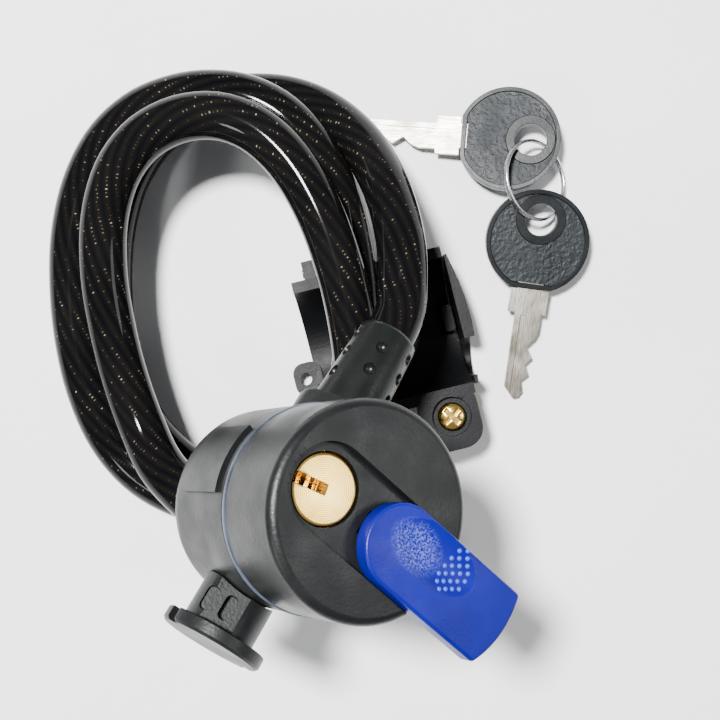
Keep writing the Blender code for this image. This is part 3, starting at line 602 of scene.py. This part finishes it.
def front_cap(mat):
    end = -SEAM + GAP
    inner = BARREL_R - WALL
    profile = [(0, 0)] + [(BARREL_R - 1.7 + 1.7 * math.sin(a), -1.7 + 1.7 * math.cos(a))
                          for a in [math.pi / 2 * k / 8 for k in range(9)]]
    profile += [(BARREL_R, end + 0.4), (BARREL_R - 0.3, end), (inner, end), (inner, -6.0), (0, -6.0)]
    cap = build("front_cap_moulding", revolve(profile, 144), mat, LOCK)
    along = PLUG_X * math.cos(math.radians(SLIDE_ANGLE)) + PLUG_Y * math.sin(math.radians(SLIDE_ANGLE))
    channel = arc(along, CHANNEL_OFFSET, CHANNEL_HALF, 90, 270, 48)
    channel += [(25, CHANNEL_OFFSET - CHANNEL_HALF), (25, CHANNEL_OFFSET + CHANNEL_HALF)]
    cut(cap, prism(channel, -CHANNEL_DEPTH, 2), SLIDE)
    mid = CHANNEL_OFFSET
    cut(cap, box(0.5, 25, mid - 2.2, mid + 2.2, -4.0, -1.0), SLIDE)
    cut(cap, box(0.3, 26, mid - 3.6, mid + 3.6, -5.1, -3.3), SLIDE)
    cut(cap, cylinder(PLUG_R + 0.3, -8, 1, 96), LOCK @ shift(PLUG_X, PLUG_Y))
    cut(cap, cylinder(HOUSING_R + 0.3, -8, -3.0, 96), LOCK @ shift(PLUG_X, PLUG_Y))
    settle(cap, 0.28, 2, 50)
    return take(cap, "front_cap", "lock", "charcoal_plastic")


def seam_ring(mat):
    # the ring's pale blue-grey material is a painted reflection: the light line that the seam's edge catches
    profile = [(16.7, -18.2), (18.55, -18.2), (18.7, -18.05), (18.7, -17.75), (18.55, -17.6), (16.7, -17.6)]
    ring = settle(build("seam_gasket", revolve(profile, 144), mat, LOCK))
    return take(ring, "seam_ring", "lock", "seam_gasket")


def rear_shell(mat):
    start = -SEAM - RING_THICK - GAP
    bend = -(BARREL_LEN - REAR_ROUND)
    corner = BARREL_R - REAR_ROUND
    outer = [(0, start), (BARREL_R - 0.3, start), (BARREL_R, start - 0.4)]
    outer += [(corner + REAR_ROUND * math.cos(math.radians(a)),
               bend - REAR_ROUND * math.sin(math.radians(a))) for a in range(0, 91, 5)]
    shell = build("rear_shell_moulding", revolve(outer + [(0, -BARREL_LEN)], 144), mat, LOCK)
    boss = [(0, 8), (BOSS_R, 8), (BOSS_R, BOSS_END - 0.8), (BOSS_R - 0.3, BOSS_END - 0.2),
            (BOSS_R - 0.9, BOSS_END), (0, BOSS_END)]
    join(shell, revolve(boss, 96), CROSS)
    pad = arc(0, 0, BARREL_R + 0.75, 131, 171, 20) + arc(0, 0, BARREL_R - 1.0, 171, 131, 20)
    join(shell, prism(pad, -35.3, -20.5), LOCK)
    cavity = [(0, start + 1), (BARREL_R - WALL, start + 1), (BARREL_R - WALL, bend),
              (corner + 3.8, bend - 3.8), (corner, -BARREL_LEN + WALL), (0, -BARREL_LEN + WALL)]
    cut(shell, revolve(cavity, 96), LOCK)
    cut(shell, cylinder(SLEEVE_R0 + 0.3, 9, BOSS_END + 2, 90), CROSS @ turn_z(1.3))
    cut(shell, cylinder(LINER_R + 0.3, -50, -40), LOCK @ shift(SOCKET_X, SOCKET_Y))
    for radius, angle in CASE_SCREWS:
        pocket = [(0, -50), (2.2, -50), (2.2, -44.8), (1.4, -44.8), (1.4, -30), (0, -30)]
        cut(shell, revolve(pocket, 32), LOCK @ turn_z(angle) @ shift(radius, 0))
    settle(shell, 0.22, 2, 50)
    return take(shell, "rear_shell", "lock", "charcoal_plastic")


def lock_plug(mat):
    place = LOCK @ shift(PLUG_X, PLUG_Y) @ turn_z(KEYWAY_ANGLE)
    profile = [(0, PLUG_FACE), (PLUG_R - 0.5, PLUG_FACE), (PLUG_R - 0.15, PLUG_FACE - 0.15),
               (PLUG_R, PLUG_FACE - 0.5), (PLUG_R, PLUG_END), (0, PLUG_END)]
    plug = build("plug_turned", revolve(profile, 96), mat, place)
    cut(plug, box(-0.4, 7, -0.95, 0.95, PLUG_END + 1, 0), place)
    for k in range(4):
        depth = -7.0 - 3.6 * k
        cut(plug, box(-2.1, 2.1, -7, 7, depth - 0.8, depth + 0.8), place)
    settle(plug, 0.12, 2, 50)
    return take(plug, "lock_plug", "plug", "brass")


def dust_cover(mat, dots):
    """Slider with rounded edges, an oval thumb scoop and rows of raised dots."""
    mid = CHANNEL_OFFSET
    outline = arc(COVER_INNER, mid, COVER_HALF, 90, 270, 48)
    for k in range(25):
        side = -COVER_HALF + 2 * COVER_HALF * k / 24
        outline.append((COVER_END_CENTRE + math.sqrt(BARREL_R ** 2 - (mid + side) ** 2), mid + side))
    cover = build("dust_cover_slider", prism(outline, -CHANNEL_DEPTH + GAP, COVER_TOP), mat, SLIDE)
    edge = cover.modifiers.new("round", "BEVEL")
    edge.width = 1.1 * MM
    edge.segments = 5
    edge.limit_method = "ANGLE"
    edge.angle_limit = math.radians(60)
    join(cover, box(16.2, 17.7, mid - 1.9, mid + 1.9, -4.2, -0.8), SLIDE)
    join(cover, box(16.2, 17.7, mid - 3.3, mid + 3.3, -4.8, -3.6), SLIDE)
    centre = (13.6, mid + 2.4)
    half = (8.8, 4.9)           # half width and height of the scoop's rim
    sphere, lift = 4.0, 2.7
    rim = math.sqrt(sphere ** 2 - lift ** 2)
    scoop = SLIDE @ Matrix.Translation(Vector((*centre, COVER_TOP + lift)) * MM)
    cut(cover, ball(sphere, 96, 48), scoop @ Matrix.Diagonal((half[0] / rim, half[1] / rim, 1.0, 1.0)))
    settle(cover, 0.16, 2, 30)
    take(cover, "dust_cover", "cover", "blue_plastic")
    middle = (18.0, mid + 3.1)
    across, down = (0.82, 0.57), (0.38, -0.92)
    for row, count in enumerate((2, 3, 4, 5, 5, 4)):
        for k in range(count):
            right = 1.35 * (k - (count - 1) / 2) - 0.25 * (row - 2.5)
            below = 1.3 * (row - 2.5)
            x = middle[0] + across[0] * right + down[0] * below
            y = middle[1] + across[1] * right + down[1] * below
            out = ((x - centre[0]) / half[0] * rim) ** 2 + ((y - centre[1]) / half[1] * rim) ** 2
            sink = max(math.sqrt(max(sphere ** 2 - out, 0.0)) - lift, 0.0)
            # the dots' paler blue is painted highlight
            dot = build("grip_dot_%d_%d" % (row, k), ball(0.45, 16, 8), dots,
                        SLIDE @ shift(x, y, COVER_TOP - sink - 0.1))
            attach(settle(dot), "cover")
    return cover


def cable_sleeve(mat):
    bore = CABLE_D / 2 + 0.12
    profile = [(bore, SLEEVE_START), (SLEEVE_R0, SLEEVE_START), (SLEEVE_R0, BOSS_END),
               (SLEEVE_R1 + 0.1, SLEEVE_END - 0.9), (SLEEVE_R1 - 0.1, SLEEVE_END - 0.3),
               (SLEEVE_R1 - 0.4, SLEEVE_END), (bore, SLEEVE_END)]
    sleeve = build("strain_relief", revolve(profile, 96), mat, CROSS)
    pair, three = (34.2, 29.1), (36.0, 31.5, 26.5)
    for turn, places in ((0, pair), (-65, three), (65, three), (180, pair)):
        for t in places:
            spot = CROSS @ turn_z(STUD_FLAT_ANGLE + turn) @ Matrix.Translation(Vector((6.5, 0, t)) * MM)
            cut(sleeve, ball(1.25, 28, 14), spot)
    settle(sleeve, 0.15, 2, 50)
    return take(sleeve, "cable_sleeve", "lock", "sleeve_pvc")


def mount_stud(mat):
    profile = [(0, 15.0), (STUD_R, 15.0), (STUD_R, FLANGE_START), (FLANGE_R - 0.2, FLANGE_START),
               (FLANGE_R, FLANGE_START + 0.2), (FLANGE_R, FLANGE_END - 0.5), (FLANGE_R - 0.5, FLANGE_END),
               (0, FLANGE_END)]
    stud = build("stud_moulding", revolve(profile, 96), mat, STUD)
    cut(stud, revolve([(0, -60), (BARREL_R + 0.3, -60), (BARREL_R + 0.3, 0), (0, 0)], 96), LOCK)
    cut(stud, box(5.6, 9, -2.3, 9, 10, FLANGE_START - 0.01), STUD)
    for y in (4.0, 0.4):
        slot = rounded_rectangle(-2.3, 2.3, -1.15, 1.15, 1.0)
        cut(stud, prism(slot, 3.4, 9.0), STUD @ Matrix.Translation(Vector((0, y, 22.0)) * MM)
            @ Matrix.Rotation(math.radians(90), 4, "Y"))
    for turn in (58, -122):
        cut(stud, box(FLANGE_R - 1.5, 12, -1.1, 1.1, FLANGE_START - 1, FLANGE_END + 1), STUD @ turn_z(turn))
    settle(stud, 0.2, 2, 50)
    return take(stud, "mount_stud", "lock", "charcoal_plastic")


def bracket_saddle(mat):
    """Half ring with its screw ear, hinge lugs and stepped rim."""
    half = math.degrees(math.asin((SADDLE_AXIS_Z - SADDLE_TOP) / SADDLE_R))
    inner = SADDLE_R - SADDLE_WALL
    foot = math.degrees(math.acos(7.0 / SADDLE_R))
    outline = arc(0, SADDLE_AXIS_Z, SADDLE_R, 180 + half, 180 + foot, 24)
    outline += [(-7.0, 0.0), (7.0, 0.0)]
    outline += arc(0, SADDLE_AXIS_Z, SADDLE_R, 360 - foot, 360 - half, 24)
    low = math.degrees(math.asin((SADDLE_AXIS_Z - SADDLE_TOP) / inner))
    outline += arc(0, SADDLE_AXIS_Z, inner, 360 - low, 180 + low, 64)
    place = BRACKET
    saddle = build("saddle_moulding", prism(outline, SADDLE_X0, SADDLE_X1), mat, place @ ACROSS)
    ear = rounded_rectangle(5.6, 18.6, -27.6, -13.6, 4.5, 12)
    join(saddle, prism(ear, 8.4, SADDLE_TOP), place)
    cut(saddle, prism(arc(0, SADDLE_AXIS_Z, inner, 0, 355, 71), -30, 30), place @ ACROSS)
    join(saddle, box(-11.5, -7.5, 15.0, 20.6, 5.0, 12.0), place)
    join(saddle, box(-1.5, 2.5, 15.0, 20.6, 5.0, 12.0), place)
    join(saddle, prism(rounded_rectangle(-19.5, -13.0, -8.5, -1.0, 2.5), 1.8, 4.8), place)
    cut(saddle, cylinder(1.4, 0, 8, 32), place @ shift(-16.9, -4.7))
    cut(saddle, cylinder(1.3, -12.5, 3.5, 24), place @ pin_frame())
    cut(saddle, cylinder(2.0, 0, 20, 32), place @ shift(SCREW_X, SCREW_Y))
    cut(saddle, cylinder(4.3, SADDLE_TOP - 1.8, 20, 64), place @ shift(SCREW_X, SCREW_Y))
    cut(saddle, box(14.5, 20, -2.6, 4.4, 1.2, 7.0), place)
    settle(saddle, 0.3, 2, 50)
    return take(saddle, "bracket_saddle", "lock", "bracket_plastic")


def pin_frame():
    return rotation_frame((0, 18.2, 8.6), (0, 1, 0), (1, 0, 0))


def bracket_strap(mat):
    points = [Vector(p) for p in [(18.2, 5.6), (20.5, 3.2), (24.0, 1.9), (29.0, 1.7), (33.5, 2.6), (37.0, 5.2),
                                  (39.0, 9.0), (39.4, 12.6)]]
    line = smooth([p.to_3d() for p in points], 0.8)
    left, right = [], []
    for k, p in enumerate(line):
        along = line[min(k + 1, len(line) - 1)] - line[max(k - 1, 0)]
        side = Vector((-along.y, along.x)).normalized() * 0.8
        left.append((p.x + side.x, p.y + side.y))
        right.append((p.x - side.x, p.y - side.y))
    strap = build("strap_band", prism(left + right[::-1], -7.2, -1.8), mat, BRACKET @ ACROSS)
    join(strap, cylinder(2.9, -7.2, -1.8, 48), BRACKET @ pin_frame())
    cut(strap, cylinder(1.3, -10, 3, 24), BRACKET @ pin_frame())
    settle(strap, 0.2, 2, 50)
    return take(strap, "bracket_strap", "lock", "bracket_plastic")


def clamp_screw(mat):
    """Pan-head screw with a cross recess."""
    place = BRACKET @ shift(SCREW_X, SCREW_Y)
    floor = SADDLE_TOP - 1.8 + GAP
    profile = [(0, 2.0), (1.5, 2.0), (1.7, 2.4), (1.7, floor), (3.0, floor), (3.1, floor + 0.15),
               (3.1, floor + 0.9), (2.9, floor + 1.45), (2.3, floor + 1.9), (1.2, floor + 2.15), (0, floor + 2.2)]
    screw = build("pan_screw", revolve(profile, 64), mat, place)
    for quarter in (0, 90):
        cut(screw, box(-2.2, 2.2, -0.55, 0.55, floor + 0.5, 20), place @ turn_z(quarter - 58))
    settle(screw, 0.08, 2, 50)
    return take(screw, "clamp_screw", "lock", "brass")


def mount_plate(mat):
    inner = SADDLE_X1 + 0.5
    outline = [(inner, -14.5)] + [(inner + 0.6 + 1.9 * math.sin(math.pi * k / 30), -14.5 + 29.0 * k / 30)
                                  for k in range(31)] + [(inner, 14.5)]
    plate = build("end_plate", prism(outline, 0.6, SADDLE_TOP - 0.8), mat, BRACKET)
    slot = arc(0, 5.0, 4.2, 180, 360, 24) + [(4.2, 30), (-4.2, 30)]
    cut(plate, prism(slot, 10, 30), BRACKET @ shift(0, -8.5) @ ACROSS)
    settle(plate, 0.25, 2, 50)
    return take(plate, "mount_plate", "lock", "bracket_plastic")


def release_tab(mat):
    tab = build("tab_moulding", prism(rounded_rectangle(16.4, 19.0, -2.2, 4.0, 0.8, 6), 1.5, 6.2), mat, BRACKET)
    settle(tab, 0.25, 3, 50)
    return take(tab, "release_tab", "tab", "bracket_plastic")


def key_frame(spec):
    x, y, angle = spec
    toward = (math.cos(math.radians(angle)), math.sin(math.radians(angle)), 0)
    flat = rotation_frame((x, y, KEY_Z), toward, (0, 0, 1))
    return flat @ Matrix.Rotation(math.radians(KEY_TILT), 4, "Y")


def key_bow(letter, place, grainy, plain):
    """Moulded bow: a rim and a smooth lobe round the hole stand over a grained field."""
    edge = math.degrees(math.acos((BOW_FLAT - BOW_CENTRE) / BOW_R))
    body = "key_" + letter
    outline = arc(BOW_CENTRE, 0, BOW_R, edge, 360 - edge, 120)
    bow = build(body + "_rim", prism(outline, -BOW_HALF, BOW_HALF), plain, place)
    cut(bow, cylinder(HOLE_R, -5, 5, 64), place)
    cut(bow, box(9.0, 20.0, -3.1, 3.1, -BLADE_HALF - GAP, BLADE_HALF + GAP), place)
    reach = math.degrees(math.acos((BOW_FLAT - 1.1 - BOW_CENTRE) / (BOW_R - 1.0)))
    inner = arc(BOW_CENTRE, 0, BOW_R - 1.0, reach, 360 - reach, 96)
    lobe = cylinder(HOLE_R + 1.9, -6, 6, 64)
    for low, high in ((BOW_HALF - 0.4, 3.0), (-3.0, -BOW_HALF + 0.4)):
        field = build(body + "_field_guide", prism(inner, low, high), None, place)
        cut(field, lobe, place)
        settle(field)
        mod = bow.modifiers.new("field", "BOOLEAN")
        mod.object = field
        mod.operation = "DIFFERENCE"
        mod.solver = "EXACT"
        field.hide_render = True
    settle(bow, 0.18, 2, 50)
    take(bow, body + "_bow", body, "bow_plastic")
    for name, low, high in (("top", BOW_HALF - 0.42, BOW_HALF - 0.34), ("under", -BOW_HALF + 0.34, -BOW_HALF + 0.42)):
        sheet = arc(BOW_CENTRE, 0, BOW_R - 1.15, reach + 1, 359 - reach, 96)
        panel = build("%s_grain_%s" % (body, name), prism(sheet, low, high), grainy, place)
        cut(panel, cylinder(HOLE_R + 2.0, -6, 6, 64), place)
        settle(panel)
        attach(panel, body)


def key_blade(letter, place, mat):
    body = "key_" + letter
    outline = [(9.6, -2.8), (BOW_FLAT + GAP, -2.8), (BOW_FLAT + GAP, -4.3), (21.3, -4.3), (21.3, -2.6),
               (38.5, -2.6), (41.0, -0.4), (40.6, 0.8), (39.2, 1.6)]
    outline += [(36.8, 0.9), (35.2, 2.4), (33.0, 1.3), (31.2, 2.6), (28.8, 1.0), (26.8, 2.6), (25.2, 3.2)]
    outline += [(21.3, 3.2), (21.3, 4.3), (BOW_FLAT + GAP, 4.3), (BOW_FLAT + GAP, 2.8), (9.6, 2.8)]
    blade = build(body + "_steel", prism(outline, -BLADE_HALF, BLADE_HALF), mat, place)
    cut(blade, box(21.8, 45.0, -1.3, -0.3, BLADE_HALF - 0.45, 3), place)
    cut(blade, box(21.8, 45.0, 0.5, 1.0, -3, -BLADE_HALF + 0.4), place)
    settle(blade, 0.1, 2, 30)
    return take(blade, body + "_blade", body, "nickel_silver")


def key_ring(mat):
    """Split ring: two turns of wire lying on each other."""
    a = Vector((KEY_A[0], KEY_A[1], KEY_Z))
    b = Vector((KEY_B[0], KEY_B[1], KEY_Z))
    middle = (a + b) / 2
    along = (b - a).normalized()
    radius = (b - a).length / 2
    side = Vector((-along.y, along.x, 0))
    tilt = math.radians(RING_TILT)
    side = side * math.cos(tilt) + Vector((0, 0, -1)) * math.sin(tilt)
    normal = along.cross(side)
    wire, steps = RING_WIRE * 0.55, 200
    path = []
    for k in range(steps + 1):
        t = 4 * math.pi * k / steps
        rise = (k / steps - 0.5) * 2 * wire * 1.05
        path.append(middle + (along * math.cos(t) + side * math.sin(t)) * radius + normal * rise)
    ring = settle(build("split_ring", sweep(path, wire, 14), mat, Matrix.Identity(4)))
    return take(ring, "key_ring", "lock", "steel")


def main():
    camera()
    cable()
    studio()

    charcoal = moulded("charcoal_grain", (0.0028, 0.0034, 0.0038), (0.0088, 0.0096, 0.0096), 0.40, 2100, 0.05,
                       ior=1.36)
    black = moulded("black_satin", (0.0010, 0.0011, 0.0015), (0.0034, 0.0036, 0.0045), 0.46, 3400, 0.05,
                    ior=1.28)
    sleeve = moulded("sleeve_grain", (0.0022, 0.0030, 0.0026), (0.0075, 0.0092, 0.0078), 0.34, 1800, 0.05,
                     ior=1.36)
    # painted reflection: pale blue-grey, darker in patches, for the broken light line at the seam
    gasket = moulded("seam_painted_reflection", (0.008, 0.010, 0.017), (0.11, 0.135, 0.19), 0.34, 2400, 0.03)
    blue = cover_plastic("cover_blue")
    # the grip dots are the cover's own plastic; their paler blue is painted highlight, the light that the raised dots
    # catch
    dots = moulded("dot_blue_painted_highlight", (0.030, 0.050, 0.42), (0.075, 0.11, 0.62), 0.30, 2600, 0.02, ior=1.45)
    rim = moulded("bow_plain", (0.0022, 0.0032, 0.0038), (0.0060, 0.0076, 0.0088), 0.36, 2600, 0.03,
                  ior=1.28)
    grain = moulded("bow_grain", (0.0025, 0.0040, 0.0052), (0.014, 0.018, 0.021), 0.46, 1300, 0.26,
                    ior=1.32)
    brass = metal("brass_bright", (0.85, 0.52, 0.10), (1.0, 0.74, 0.24), 0.20)
    steel = metal("steel_bright", (0.50, 0.50, 0.52), (0.74, 0.74, 0.76), 0.26)
    nickel = metal("nickel_worn", (0.17, 0.15, 0.12), (0.50, 0.47, 0.41), 0.38, 350, 0.05)

    front_cap(charcoal)
    seam_ring(gasket)
    rear_shell(charcoal)
    lock_plug(turned_brass("brass_turned"))
    dust_cover(blue, dots)
    cable_sleeve(sleeve)
    mount_stud(charcoal)
    bracket_saddle(black)
    bracket_strap(black)
    clamp_screw(brass)
    mount_plate(black)
    release_tab(black)
    key_ring(steel)
    for letter, spec in (("a", KEY_A), ("b", KEY_B)):
        key_bow(letter, key_frame(spec), grain, rim)
        key_blade(letter, key_frame(spec), nickel)

    kept = {"cylinder_housing": brass, "wafer_1": brass, "wafer_2": brass, "wafer_3": brass, "wafer_4": brass,
            "clamp_nut": brass, "free_end_sleeve": sleeve}
    for name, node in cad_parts.items():
        node.data.materials.clear()
        node.data.materials.append(kept.get(name, steel))


main()
bpy.context.view_layer.update()
